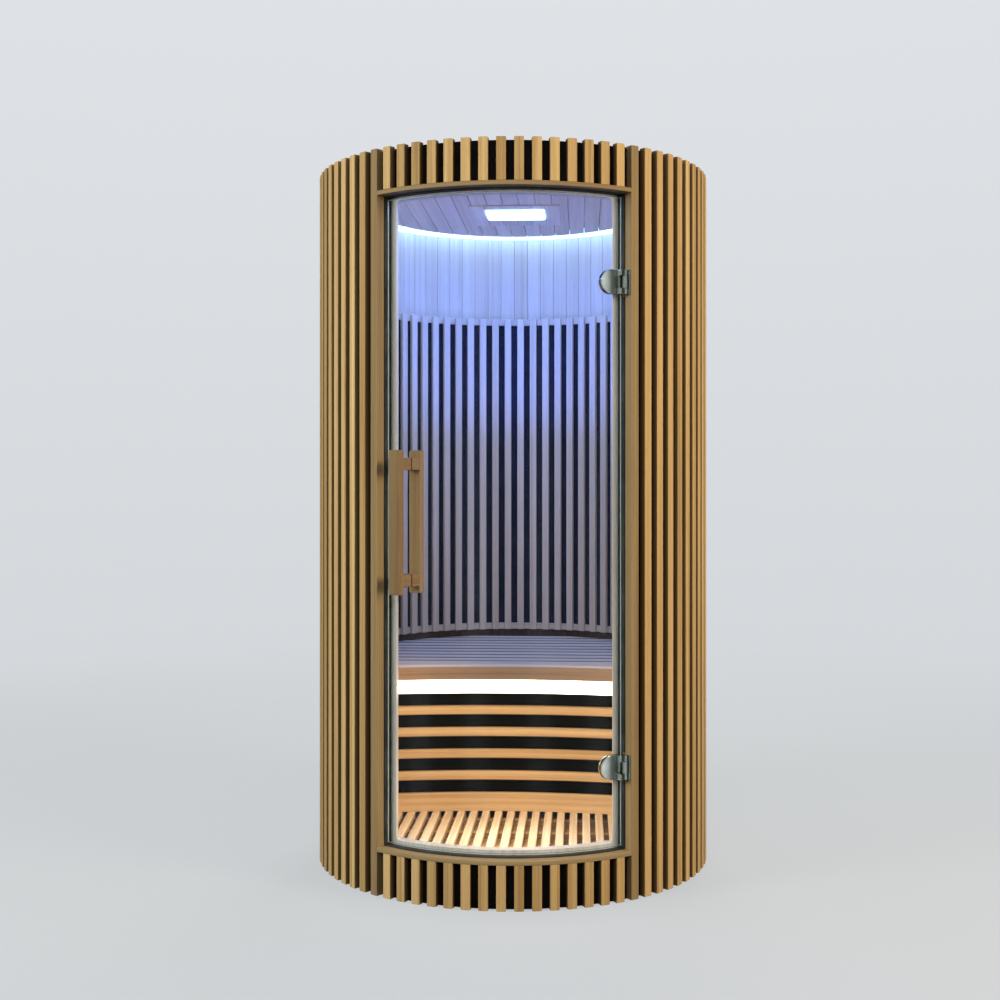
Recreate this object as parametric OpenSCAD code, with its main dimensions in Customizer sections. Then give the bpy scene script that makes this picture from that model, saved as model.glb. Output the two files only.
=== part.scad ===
// Round indoor infrared sauna cabin with a curved glass door.
// Millimetres, +Z up. The origin is the middle of the base, on the floor.
// The door faces -Y and its hinges are on the +X side. Angles are measured
// at the origin from the middle of the door, positive towards +X.

/* [Cabin] */
// Diameter over the faces of the outer slats
outer_d = 1150; // [1050:10:1400]
// Height of the outer slats, which stand on the floor
cabin_h = 2000; // [1950:10:2400]
// Thickness of the wall core behind the outer slats
core_t = 45; // [35:1:60]
// Thickness of the inner board lining
lining_t = 12; // [8:1:18]
// Thickness of the roof panel
roof_t = 18; // [12:1:24]
// How far the roof panel lies below the slat tops
roof_drop = 5; // [0:1:20]

/* [Outer slats] */
// Slat places round the cabin, an odd number
slat_count = 77; // [71:2:83]
// Width of an outer slat
slat_w = 25; // [18:1:28]
// Depth of an outer slat
slat_d = 20; // [12:1:26]
// Bevel along the outer edges of a slat
slat_bevel = 1.5; // [0.5:0.5:3]

/* [Door opening] */
// Slat places from the middle of the door to a door post
post_place = 8; // [7:1:9]
// Height of the top of the sill board
sill_top = 130; // [120:1:180]
// Height of the underside of the header board
header_bottom = 1875; // [1700:5:1900]
// Thickness of the sill and header boards
frame_board_t = 12; // [9:1:20]
// Radial depth of the stop frame behind the glass
stop_d = 28; // [20:1:34]
// Width of the clear opening inside the stop frame
clear_w = 576; // [460:1:580]
// Height of the stop frame's bottom rail above the sill board
stop_sill_h = 16; // [14:1:24]
// Height of the stop frame's top rail below the header board
stop_head_h = 10; // [8:1:40]
// Radius of the stop frame's inner corners
stop_corner_r = 10; // [5:1:40]

/* [Door] */
// Thickness of the curved glass
glass_t = 8; // [6:1:10]
// From the slat faces in to the outer face of the glass
glass_setback = 30; // [28:1:34]
// Gap between the glass edge and a door post
glass_side_gap = 10; // [8:1:14]
// Gap between the glass and the sill and header boards
glass_end_gap = 10; // [6:1:12]

/* [Handle] */
// Angle of the handle from the middle of the door
handle_a = -28.4; // [-29:0.1:-20]
// Width of a handle bar
handle_w = 36; // [28:1:42]
// Thickness of a handle bar
handle_t = 20; // [16:1:26]
// Length of a handle bar
handle_l = 382; // [300:1:460]
// Height of the middle of the handle
handle_z = 1001; // [900:1:1100]
// Side of a square spacer block
block_w = 33; // [24:1:34]
// Distance that a spacer block holds the bar off the glass
block_l = 33; // [25:1:40]
// From the end of a bar to the middle of its spacer block
block_inset = 36; // [30:1:60]

/* [Hinges] */
// Height of the middle of the upper hinge
hinge_upper_z = 1638; // [1500:1:1750]
// Height of the middle of the lower hinge
hinge_lower_z = 351; // [260:1:500]
// Height of a hinge, and of its D-shaped plate
hinge_h = 65; // [56:1:76]
// Width of the D-shaped plate along the glass
plate_w = 60; // [52:1:72]
// Thickness of the outer plate
plate_t = 5; // [4:1:6]
// Thickness of the back plate inside the glass
back_plate_t = 4; // [3:0.5:5]
// From the slat faces in to the hinge axis
hinge_setback = 15; // [13:1:17]
// Radius of the hinge knuckles
knuckle_r = 6.5; // [5.5:0.5:7]
// Radius of the hinge pin
pin_r = 3.5; // [2.5:0.5:4]
// Height of each arm of the outer plate
arm_h = 16; // [12:1:20]
// Thickness of the leaf on the door post
leaf_t = 3; // [2:0.5:4]
// Width of the leaf along the post's depth
leaf_w = 34; // [26:1:40]

/* [Floor] */
// Height of the joists under the base
joist_h = 87; // [70:1:110]
// Width of a joist
joist_w = 45; // [35:1:60]
// Spacing of the four joists
joist_pitch = 256; // [220:4:280]
// Thickness of the base panel
base_t = 18; // [12:1:24]
// Height of the battens under the duckboard
batten_h = 15; // [10:1:20]
// Width of a batten
batten_w = 30; // [20:1:40]
// From the wall behind the door to the first batten
batten_inset = 90; // [70:5:130]
// Thickness of a duckboard slat
floor_slat_t = 20; // [15:1:25]
// Width of a duckboard slat
floor_slat_w = 22; // [18:1:26]
// Spacing of the duckboard slats
floor_pitch = 36.6; // [32:0.2:44]
// How far the duckboard runs on under the kick board
floor_tuck = 30; // [20:1:50]

/* [Bench] */
// Height of the top of the seat
seat_top = 590; // [420:1:620]
// Thickness of a seat board
seat_t = 20; // [16:1:26]
// Spacing of the seat boards
seat_pitch = 70; // [50:1:90]
// Gap between seat boards
seat_gap = 12; // [5:1:14]
// From the cabin's middle to the front of the seat, towards the door
seat_front = 235; // [180:1:260]
// Depth of the front board at its middle
front_board_w = 78; // [60:1:100]
// Height of the front board's face
front_board_h = 43; // [36:1:55]
// Radius of the hollow curve along the seat front
front_curve_r = 1600; // [1200:50:2400]
// How far the leg panel lies behind the seat front
leg_setback = 145; // [100:1:170]
// Height of the light strip's face under the front board
light_h = 38; // [25:1:45]
// Thickness of the light strip
light_t = 15; // [10:1:20]
// How far the light strip lies behind the seat front
light_inset = 4; // [2:1:10]
// Number of thin slats over the leg heater
leg_slat_count = 4; // [3:1:5]
// Height of a thin leg slat
leg_slat_h = 25; // [18:1:30]
// Depth of a thin leg slat
leg_slat_d = 18; // [12:1:24]
// Spacing of the leg slats
leg_pitch = 64; // [54:1:66]
// Height of the kick board
kick_h = 53; // [40:1:70]
// Thickness of the leg heater panel
leg_heater_t = 8; // [6:1:12]
// Width of the bench frame's timbers
frame_w = 40; // [30:1:50]
// Spacing of the three bench frames
frame_pitch = 320; // [260:1:330]

/* [Back wall] */
// Inner boards round the full circle, which the back slats follow
board_count = 70; // [60:2:80]
// Back slats to each side of the middle one
back_side_slats = 16; // [12:1:17]
// Width of a back slat
back_slat_w = 22; // [16:1:26]
// Depth of a back slat
back_slat_d = 12; // [8:1:18]
// Height of the bottom of the back slats above the seat
back_gap = 23; // [15:1:40]
// Length of a back slat
back_slat_l = 1039; // [800:1:1100]
// Radial depth of a back rail
rail_d = 12; // [8:1:18]
// Height of a back rail
rail_h = 20; // [14:1:30]
// Thickness of the heater panel behind the back slats
back_heater_t = 6; // [4:1:10]

/* [Ceiling] */
// Height of the ceiling's underside
ceiling_z = 1920; // [1880:1:1930]
// Thickness of the ceiling boards
ceiling_t = 17; // [12:1:20]
// Radius of the ceiling disc inside the ring light
ceiling_r = 425; // [380:1:450]
// How far the ring light lies above the ceiling's underside
ring_recess = 3; // [2:1:8]
// Number of roof joists
roof_joists_n = 3; // [2:1:4]
// Side of the access panel along X
panel_x = 270; // [230:1:320]
// Side of the access panel along Y
panel_y = 300; // [230:1:330]
// Thickness that the access panel stands below the boards
panel_t = 3; // [2:0.5:5]
// Place of the access panel's middle along Y
panel_mid_y = 58; // [0:1:80]
// Side of the lamp along X
lamp_x = 176; // [150:1:210]
// Side of the lamp along Y
lamp_y = 130; // [100:1:180]
// Thickness of the lamp below the access panel
lamp_t = 6; // [4:1:16]
// Place of the lamp's middle along Y
lamp_mid_y = 29; // [0:1:60]
// Place of the middle of the lamp and its panel along X
lamp_mid_x = 7; // [-30:1:30]

/* [Hidden] */
$fn = 96;

// Radii of the wall's layers
slat_r = outer_d / 2;
core_r = slat_r - slat_d;
lining_r = core_r - core_t;
inner_r = lining_r - lining_t;
wall_t = slat_r - inner_r;
// Radii of the back wall's layers
heater_r = inner_r - back_heater_t;
rail_r = heater_r - rail_d;
back_slat_r = rail_r - back_slat_d;
// Angles
slat_a = 360 / slat_count;
post_a = post_place * slat_a;
board_a = 360 / board_count;
// Gap at the joins between wall pieces, and its angle
seam = 0.01;
seam_a = seam / inner_r * 180 / PI;
back_start_a = 180 - (back_side_slats + 0.5) * board_a;
wall_split_a = 108;
// Heights
core_top = cabin_h - roof_drop - roof_t;
base_z = joist_h + base_t;
floor_z = base_z + batten_h + floor_slat_t;
ring_z = ceiling_z + ring_recess;
ring_t = ceiling_t - ring_recess;
ceiling_top = ceiling_z + ceiling_t;
// The glass and the stop frame behind it
glass_ro = slat_r - glass_setback;
glass_ri = glass_ro - glass_t;
stop_ro = inner_r + stop_d;
// Hinge axis, in the frame of the right-hand post
leaf_play = 0.5;
hinge_r = slat_r - hinge_setback;
hinge_x = -(slat_w / 2 + leaf_t + leaf_play + knuckle_r);
pin_play = 0.05;
arm_play = 0.5;
arm_reach = 18;
plate_gap = 5;
knuckle_neck = 5;
leaf_outset = 12;
hinge_zs = [hinge_lower_z, hinge_upper_z];
// Bench lines
curve_y = -seat_front - front_curve_r;
boards_y = -seat_front + front_board_w;
duckboard_back = -seat_front + leg_setback + floor_tuck;
leg_front_r = front_curve_r + leg_setback;
leg_heater_r = leg_front_r + leg_slat_d;
leg_back_r = leg_heater_r + leg_heater_t;
wall_gap = 3;
fit_r = inner_r - wall_gap;
front_board_z = seat_top - front_board_h;
light_z = front_board_z - light_h;
frame_top = seat_top - seat_t;
leg_top_z = floor_z + kick_h + leg_slat_count * leg_pitch;
least_board = 40;
back_slat_z = seat_top + back_gap;
// A length that reaches past the cabin, for cutting
far = 2 * outer_d;

wood = "burlywood";
pale_wood = "wheat";
dark = "#1c1816";
steel = "silver";

// ---------- shared shapes ----------

// Solid ring segment between two radii, two angles and two heights
module ring_segment(r_in, r_out, a1, a2, z1, z2) {
    rotate([0, 0, a1 - 90])
        rotate_extrude(angle = a2 - a1, $fn = 360)
            translate([r_in, z1])
                square([r_out - r_in, z2 - z1]);
}

// Disc centred on the cabin's axis
module disc(r, z1, z2) {
    translate([0, 0, z1])
        cylinder(r = r, h = z2 - z1, $fn = 360);
}

// Turns children from the -Y direction to an angle round the cabin
module at_angle(a) {
    rotate([0, 0, a])
        children();
}

// The block that a door post fills, wider by a gap on each side
module post_block(side, gap = 0) {
    at_angle(side * post_a)
        translate([-slat_w / 2 - gap, -slat_r - gap, -1])
            cube([slat_w + 2 * gap, wall_t + 2 * gap, cabin_h + 2]);
}

module both_post_blocks(gap = 0) {
    for (side = [-1, 1])
        post_block(side, gap);
}

// Board round the doorway between the two posts
module between_posts(r_in, r_out, z1, z2, gap = 0) {
    difference() {
        ring_segment(r_in, r_out, -post_a, post_a, z1, z2);
        both_post_blocks(gap);
    }
}

// Outer slat at one place, with bevelled outer edges
module outer_slat(place, z1, z2) {
    half = slat_w / 2;
    at_angle(place * slat_a)
        translate([0, -slat_r, z1])
            linear_extrude(height = z2 - z1)
                polygon([
                    [-half, slat_d], [-half, slat_bevel], [-half + slat_bevel, 0],
                    [half - slat_bevel, 0], [half, slat_bevel], [half, slat_d]
                ]);
}

// Curved upright strip along the bench front, clipped to the cabin
module bench_strip(r_in, thickness, z1, z2) {
    intersection() {
        translate([0, curve_y, z1])
            difference() {
                cylinder(r = r_in + thickness, h = z2 - z1, $fn = 720);
                translate([0, 0, -1])
                    cylinder(r = r_in, h = z2 - z1 + 2, $fn = 720);
            }
        disc(fit_r, z1 - 1, z2 + 1);
        translate([-outer_d, -inner_r, z1 - 1])
            cube([2 * outer_d, 2 * inner_r, z2 - z1 + 2]);
    }
}

// ---------- base and floor ----------

module base_joists() {
    color(wood)
        intersection() {
            union()
                for (k = [-1.5, -0.5, 0.5, 1.5])
                    translate([k * joist_pitch - joist_w / 2, -outer_d, 0])
                        cube([joist_w, 2 * outer_d, joist_h]);
            disc(lining_r, -1, joist_h + 1);
        }
}

module base_panel() {
    color(wood)
        difference() {
            disc(lining_r, joist_h, base_z);
            both_post_blocks();
        }
}

module floor_battens() {
    first = -fit_r + batten_inset;
    last = -seat_front + leg_setback - batten_w;
    color(wood)
        intersection() {
            union()
                for (k = [0 : 2])
                    translate([-outer_d, first + k * (last - first) / 2, base_z])
                        cube([2 * outer_d, batten_w, batten_h]);
            disc(fit_r, base_z - 1, floor_z);
        }
}

module floor_slats() {
    side = floor(fit_r / floor_pitch);
    color(pale_wood)
        intersection() {
            union()
                for (k = [-side : side])
                    translate([k * floor_pitch - floor_slat_w / 2, -outer_d, floor_z - floor_slat_t])
                        cube([floor_slat_w, outer_d + duckboard_back, floor_slat_t]);
            disc(fit_r, base_z, floor_z + 1);
        }
}

// ---------- walls ----------

module wall_core(a1, a2) {
    color(dark)
        difference() {
            ring_segment(lining_r, core_r, a1, a2, 0, core_top);
            both_post_blocks();
        }
}

module wall_front_right() { wall_core(post_a, wall_split_a - seam_a); }
module wall_back_right() { wall_core(wall_split_a, 180 - seam_a); }
module wall_back_left() { wall_core(180, 360 - wall_split_a - seam_a); }
module wall_front_left() { wall_core(360 - wall_split_a, 360 - post_a); }

module lintel_panel() {
    color(dark)
        between_posts(lining_r, core_r, header_bottom + frame_board_t, core_top);
}

module sill_panel() {
    color(dark)
        between_posts(lining_r, core_r, 0, sill_top - frame_board_t);
}

module cladding_right() {
    color(wood)
        for (place = [post_place + 1 : floor(slat_count / 2)])
            outer_slat(place, 0, cabin_h);
}

module cladding_left() {
    color(wood)
        for (place = [post_place + 1 : floor(slat_count / 2)])
            outer_slat(-place, 0, cabin_h);
}

module lintel_slats() {
    color(wood)
        for (place = [1 - post_place : post_place - 1])
            outer_slat(place, header_bottom + frame_board_t, cabin_h);
}

module sill_slats() {
    color(wood)
        for (place = [1 - post_place : post_place - 1])
            outer_slat(place, 0, sill_top - frame_board_t);
}

// ---------- door frame ----------

module door_post(side) {
    color(wood)
        at_angle(side * post_a)
            translate([-slat_w / 2, -slat_r, 0])
                cube([slat_w, wall_t, cabin_h]);
}

module door_post_right() { door_post(1); }
module door_post_left() { door_post(-1); }

module door_header() {
    color(wood)
        between_posts(inner_r, slat_r, header_bottom, header_bottom + frame_board_t);
}

module door_sill() {
    color(wood)
        between_posts(inner_r, slat_r, sill_top - frame_board_t, sill_top);
}

// Outline of the clear opening, with round corners
module clear_outline(w, h, r) {
    translate([-w / 2 + r, 0])
        square([w - 2 * r, h]);
    translate([-w / 2, r])
        square([w, h - 2 * r]);
    for (x = [-w / 2 + r, w / 2 - r], y = [r, h - r])
        translate([x, y])
            circle(r = r, $fn = 64);
}

module door_stop_frame() {
    clear_h = header_bottom - stop_head_h - sill_top - stop_sill_h;
    color(pale_wood)
        difference() {
            between_posts(inner_r, stop_ro, sill_top, header_bottom);
            translate([0, 0, sill_top + stop_sill_h])
                rotate([90, 0, 0])
                    linear_extrude(height = outer_d)
                        clear_outline(clear_w, clear_h, stop_corner_r);
        }
}

// ---------- lining and back wall ----------

module lining(a1, a2) {
    color(pale_wood)
        difference() {
            ring_segment(inner_r, lining_r, a1, a2, base_z, ring_z);
            both_post_blocks();
        }
}

module lining_right() { lining(post_a, back_start_a - seam_a); }
module lining_back() { lining(back_start_a, 360 - back_start_a - seam_a); }
module lining_left() { lining(360 - back_start_a, 360 - post_a); }

module lintel_lining() {
    color(pale_wood)
        between_posts(inner_r, lining_r, header_bottom + frame_board_t, ring_z);
}

module back_heater() {
    color(dark)
        ring_segment(heater_r, inner_r, back_start_a, 360 - back_start_a,
            back_slat_z, back_slat_z + back_slat_l);
}

module back_rails() {
    color(pale_wood)
        for (z = [back_slat_z, back_slat_z + back_slat_l - rail_h])
            ring_segment(rail_r, heater_r, back_start_a, 360 - back_start_a, z, z + rail_h);
}

module back_slats() {
    color(pale_wood)
        intersection() {
            for (k = [-back_side_slats : back_side_slats])
                at_angle(180 + k * board_a)
                    translate([-back_slat_w / 2, -slat_r, back_slat_z])
                        cube([back_slat_w, slat_r - back_slat_r, back_slat_l]);
            disc(rail_r, back_slat_z - 1, back_slat_z + back_slat_l + 1);
        }
}

// ---------- bench ----------

module bench_frame() {
    rear_y = sqrt(pow(fit_r, 2) - pow(frame_pitch + frame_w / 2, 2));
    color(wood)
        difference() {
            for (k = [-1, 0, 1])
                translate([k * frame_pitch - frame_w / 2, 0, 0]) {
                    translate([0, boards_y, frame_top - frame_w])
                        cube([frame_w, rear_y - boards_y, frame_w]);
                    for (y = [-seat_front, rear_y - frame_w])
                        translate([0, y, base_z])
                            cube([frame_w, y < 0 ? seat_front : frame_w, frame_top - base_z]);
                }
            translate([0, curve_y, 0])
                cylinder(r = leg_back_r, h = light_z, $fn = 720);
            translate([-outer_d, -outer_d, light_z])
                cube([2 * outer_d, outer_d + boards_y, far]);
            translate([-outer_d, -outer_d, 0])
                cube([2 * outer_d, outer_d + duckboard_back + seam, floor_z]);
        }
}

module seat_boards() {
    last = floor((fit_r - boards_y - seat_gap / 2 - least_board) / seat_pitch);
    color(pale_wood)
        intersection() {
            union()
                for (k = [0 : last])
                    translate([-outer_d, boards_y + seat_gap + k * seat_pitch, frame_top])
                        cube([2 * outer_d, seat_pitch - seat_gap, seat_t]);
            disc(fit_r, frame_top - 1, seat_top + 1);
        }
}

module seat_front_board() {
    color(pale_wood)
        intersection() {
            disc(fit_r, front_board_z, seat_top);
            difference() {
                translate([-outer_d, -inner_r, front_board_z - 1])
                    cube([2 * outer_d, inner_r + boards_y, front_board_h + 2]);
                translate([0, curve_y, front_board_z - 2])
                    cylinder(r = front_curve_r, h = front_board_h + 4, $fn = 720);
            }
        }
}

module bench_light() {
    color("lightyellow")
        bench_strip(front_curve_r + light_inset, light_t, light_z, front_board_z);
}

module leg_heater() {
    color(dark)
        bench_strip(leg_heater_r, leg_heater_t, floor_z, light_z);
}

module leg_slats() {
    color(pale_wood)
        for (k = [1 : leg_slat_count])
            bench_strip(leg_front_r, leg_slat_d,
                floor_z + kick_h + k * leg_pitch - leg_slat_h, floor_z + kick_h + k * leg_pitch);
}

module kick_board() {
    color(pale_wood)
        bench_strip(leg_front_r, leg_slat_d, floor_z, floor_z + kick_h);
}

// ---------- roof and ceiling ----------

module roof_panel() {
    color(wood)
        difference() {
            disc(core_r, core_top + seam, core_top + roof_t);
            both_post_blocks();
        }
}

module roof_joists() {
    span = 2 * ceiling_r / roof_joists_n;
    color(wood)
        difference() {
            intersection() {
                union()
                    for (k = [0 : roof_joists_n - 1])
                        translate([(k - (roof_joists_n - 1) / 2) * span - joist_w / 2, -outer_d, ceiling_top])
                            cube([joist_w, 2 * outer_d, core_top - ceiling_top]);
                disc(lining_r, ceiling_top - 1, core_top + 1);
            }
            both_post_blocks();
        }
}

module ceiling_boards() {
    color(pale_wood)
        disc(ceiling_r, ceiling_z, ceiling_top);
}

module lamp_panel() {
    color(pale_wood)
        translate([lamp_mid_x - panel_x / 2, panel_mid_y - panel_y / 2, ceiling_z - panel_t])
            cube([panel_x, panel_y, panel_t]);
}

module ceiling_lamp() {
    color("white")
        translate([lamp_mid_x - lamp_x / 2, lamp_mid_y - lamp_y / 2, ceiling_z - panel_t - lamp_t])
            cube([lamp_x, lamp_y, lamp_t]);
}

module ring_light() {
    color("white")
        difference() {
            disc(lining_r, ring_z, ring_z + ring_t);
            disc(ceiling_r, ring_z - 1, ceiling_top + 1);
            both_post_blocks();
        }
}

// ---------- hinges ----------

// Moves children to the hinge axis; +X points at the post, +Y into the cabin
module at_hinge_axis() {
    at_angle(post_a)
        translate([hinge_x, -hinge_r, 0])
            children();
}

module hinge_leaves() {
    middle_h = hinge_h - 2 * arm_h - 2 * arm_play;
    leaf_x = knuckle_r + leaf_play;
    color(steel)
        for (z = hinge_zs)
            at_hinge_axis()
                difference() {
                    union() {
                        translate([leaf_x, -leaf_outset, z - hinge_h / 2])
                            cube([leaf_t, leaf_w, hinge_h]);
                        translate([0, -knuckle_neck, z - middle_h / 2])
                            cube([leaf_x + leaf_t / 2, 2 * knuckle_neck, middle_h]);
                        translate([0, 0, z - middle_h / 2])
                            cylinder(r = knuckle_r, h = middle_h);
                    }
                    translate([0, 0, z - hinge_h])
                        cylinder(r = pin_r + pin_play, h = 2 * hinge_h);
                }
}

// The D-shaped block that a hinge plate is cut from, through the wall's depth
module plate_block(z) {
    round_r = hinge_h / 2;
    flat_w = plate_w - round_r;
    at_angle(post_a)
        translate([hinge_x - plate_gap, 0, z])
            rotate([90, 0, 0])
                linear_extrude(height = outer_d) {
                    translate([-flat_w, -round_r])
                        square([flat_w, hinge_h]);
                    translate([-flat_w, 0])
                        circle(r = round_r);
                }
}

module curved_plate(z, r_in, r_out) {
    intersection() {
        ring_segment(r_in, r_out, 0, post_a, z - hinge_h, z + hinge_h);
        plate_block(z);
    }
}

module hinge_clamps() {
    color(steel)
        for (z = hinge_zs)
            union() {
                curved_plate(z, glass_ro, glass_ro + plate_t);
                at_hinge_axis() {
                    for (arm_z = [z - hinge_h / 2, z + hinge_h / 2 - arm_h])
                        translate([0, 0, arm_z]) {
                            cylinder(r = knuckle_r, h = arm_h);
                            translate([-arm_reach, 0, 0])
                                cube([arm_reach, glass_setback - hinge_setback - plate_t / 2, arm_h]);
                        }
                    translate([0, 0, z - hinge_h / 2])
                        cylinder(r = pin_r, h = hinge_h);
                }
            }
}

module hinge_back_plates() {
    color(steel)
        for (z = hinge_zs)
            curved_plate(z, glass_ri - back_plate_t, glass_ri);
}

// ---------- door ----------

module door_glass() {
    color("lightcyan", 0.35)
        between_posts(glass_ri, glass_ro, sill_top + glass_end_gap,
            header_bottom - glass_end_gap, glass_side_gap);
}

// Height of the underside of the upper (1) or lower (-1) spacer block
function block_z(side) = handle_z + side * (handle_l / 2 - block_inset) - block_w / 2;

module handle_outer() {
    color(wood)
        difference() {
            at_angle(handle_a) {
                translate([-handle_w / 2, -glass_ro - block_l - handle_t, handle_z - handle_l / 2])
                    cube([handle_w, handle_t, handle_l]);
                for (side = [-1, 1])
                    translate([-block_w / 2, -glass_ro - block_l - handle_t / 2, block_z(side)])
                        cube([block_w, block_l + handle_t, block_w]);
            }
            disc(glass_ro, 0, cabin_h);
        }
}

module handle_inner() {
    color(wood)
        intersection() {
            at_angle(handle_a) {
                translate([-handle_w / 2, -glass_ri + block_l, handle_z - handle_l / 2])
                    cube([handle_w, handle_t, handle_l]);
                for (side = [-1, 1])
                    translate([-block_w / 2, -glass_ri - handle_t / 2, block_z(side)])
                        cube([block_w, block_l + handle_t, block_w]);
            }
            disc(glass_ri, 0, cabin_h);
        }
}

base_joists();
base_panel();
floor_battens();
floor_slats();
wall_front_right();
wall_back_right();
wall_back_left();
wall_front_left();
lintel_panel();
sill_panel();
cladding_right();
cladding_left();
lintel_slats();
sill_slats();
door_post_right();
door_post_left();
door_header();
door_sill();
door_stop_frame();
lining_right();
lining_back();
lining_left();
lintel_lining();
back_heater();
back_rails();
back_slats();
bench_frame();
seat_boards();
seat_front_board();
bench_light();
leg_heater();
leg_slats();
kick_board();
roof_panel();
roof_joists();
ceiling_boards();
lamp_panel();
ceiling_lamp();
ring_light();
hinge_leaves();
hinge_clamps();
hinge_back_plates();
door_glass();
handle_outer();
handle_inner();
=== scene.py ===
import math
import random

import bmesh
import bpy
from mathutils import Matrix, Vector


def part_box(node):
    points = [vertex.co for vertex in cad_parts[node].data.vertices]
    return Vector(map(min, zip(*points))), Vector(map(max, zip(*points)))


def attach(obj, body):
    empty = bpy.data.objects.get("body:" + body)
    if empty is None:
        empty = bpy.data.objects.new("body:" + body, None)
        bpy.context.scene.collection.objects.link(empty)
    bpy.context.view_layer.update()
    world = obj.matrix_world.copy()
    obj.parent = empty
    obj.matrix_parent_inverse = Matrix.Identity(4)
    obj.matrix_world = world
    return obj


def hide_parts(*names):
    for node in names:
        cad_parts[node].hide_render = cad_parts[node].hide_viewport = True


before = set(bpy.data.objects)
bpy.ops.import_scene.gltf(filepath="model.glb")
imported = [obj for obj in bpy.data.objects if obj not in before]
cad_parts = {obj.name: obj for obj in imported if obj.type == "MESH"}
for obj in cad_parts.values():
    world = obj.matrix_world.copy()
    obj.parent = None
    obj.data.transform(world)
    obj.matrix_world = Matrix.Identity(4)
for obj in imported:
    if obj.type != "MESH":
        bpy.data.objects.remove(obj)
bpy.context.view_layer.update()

# ---------- sizes that repeat the CAD's, in metres ----------

SLAT_COUNT, SLAT_W, SLAT_D, SLAT_EDGE = 77, 0.025, 0.020, 0.0015
SLAT_A = 2 * math.pi / SLAT_COUNT
POST_PLACE = 8
POST_A = POST_PLACE * SLAT_A
SLAT_R, INNER_R = 0.575, 0.498
HEATER_R, RAIL_R, BACK_SLAT_R, FIT_R, RAIL_H = 0.492, 0.480, 0.468, 0.495, 0.020
BOARD_COUNT = 70
BOARD_A = 2 * math.pi / BOARD_COUNT
BACK_SIDE_SLATS = 16
BACK_START_A = math.pi - (BACK_SIDE_SLATS + 0.5) * BOARD_A
BACK_SLAT_W = 0.022
CURVE_Y, CURVE_R = -1.835, 1.600
LIGHT_INSET, LIGHT_D, FRONT_BOARD_D = 0.004, 0.015, 0.078
LEG_SETBACK, LEG_SLATS, LEG_PITCH, LEG_SLAT_D, LEG_SLAT_H = 0.145, 4, 0.064, 0.018, 0.025
SEAT_PITCH, SEAT_GAP, SEAT_BOARDS = 0.070, 0.012, 9
BOARDS_Y = -0.157
FLOOR_PITCH, FLOOR_SLAT_W, FLOOR_SIDE = 0.0366, 0.022, 13
CEILING_R, CEILING_PITCH = 0.425, 0.0475
GLASS_RO, GLASS_RI, GLASS_GAP = 0.545, 0.537, 0.010
HANDLE_A = math.radians(-28.4)
HANDLE_W, HANDLE_T, BLOCK_W, BLOCK_L, BLOCK_INSET = 0.036, 0.020, 0.033, 0.033, 0.036
HINGE_X, HINGE_R, HINGE_ZS = -0.0225, 0.560, (0.351, 1.638)
HINGE_H, PLATE_W, PLATE_GAP, KNUCKLE_R, PIN_R = 0.065, 0.060, 0.005, 0.0065, 0.0035
ARM_H, ARM_PLAY, ARM_REACH = 0.016, 0.0005, 0.018
LEAF_T, LEAF_W, LEAF_OUTSET, LEAF_X, NECK = 0.003, 0.034, 0.012, 0.007, 0.005


def heights(node):
    """Lowest and highest Z of a CAD node."""
    low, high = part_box(node)
    return low.z, high.z


# ---------- shapes ----------


def soften(corners, radii, steps=2):
    """Outline with its convex corners rounded, each to its own radius."""
    out = []
    for i, corner in enumerate(corners):
        radius = radii[i] if isinstance(radii, (list, tuple)) else radii
        c = Vector(corner)
        if radius <= 0:
            out.append((c.x, c.y))
            continue
        a = (Vector(corners[i - 1]) - c).normalized()
        b = (Vector(corners[(i + 1) % len(corners)]) - c).normalized()
        half = a.angle(b) / 2
        centre = c + (a + b).normalized() * (radius / math.sin(half))
        start = c + a * (radius / math.tan(half)) - centre
        end = c + b * (radius / math.tan(half)) - centre
        for k in range(steps + 1):
            p = centre + start.lerp(end, k / steps).normalized() * radius
            out.append((p.x, p.y))
    return out


def rect(x1, x2, y1, y2, radii, steps=2):
    """Rectangle with round corners, from (x1, y1) round by (x2, y1)."""
    return soften([(x1, y1), (x2, y1), (x2, y2), (x1, y2)], radii, steps)


def circle(radius, steps=28):
    return [
        (radius * math.cos(2 * math.pi * k / steps), radius * math.sin(2 * math.pi * k / steps))
        for k in range(steps)
    ]


def stations(start, end, chamfer=0.0, fraction=None, count=1):
    """Places along a sweep, as (t, inset), with a chamfer at both ends.

    fraction is the chamfer's length in t.
    """
    cut = (chamfer if fraction is None else fraction) * (1 if end > start else -1)
    if not chamfer:
        return [(start + (end - start) * k / count, 0.0) for k in range(count + 1)]
    inner = [(start + cut + (end - start - 2 * cut) * k / count, 0.0) for k in range(count + 1)]
    return [(start, chamfer)] + inner + [(end, chamfer)]


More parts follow.
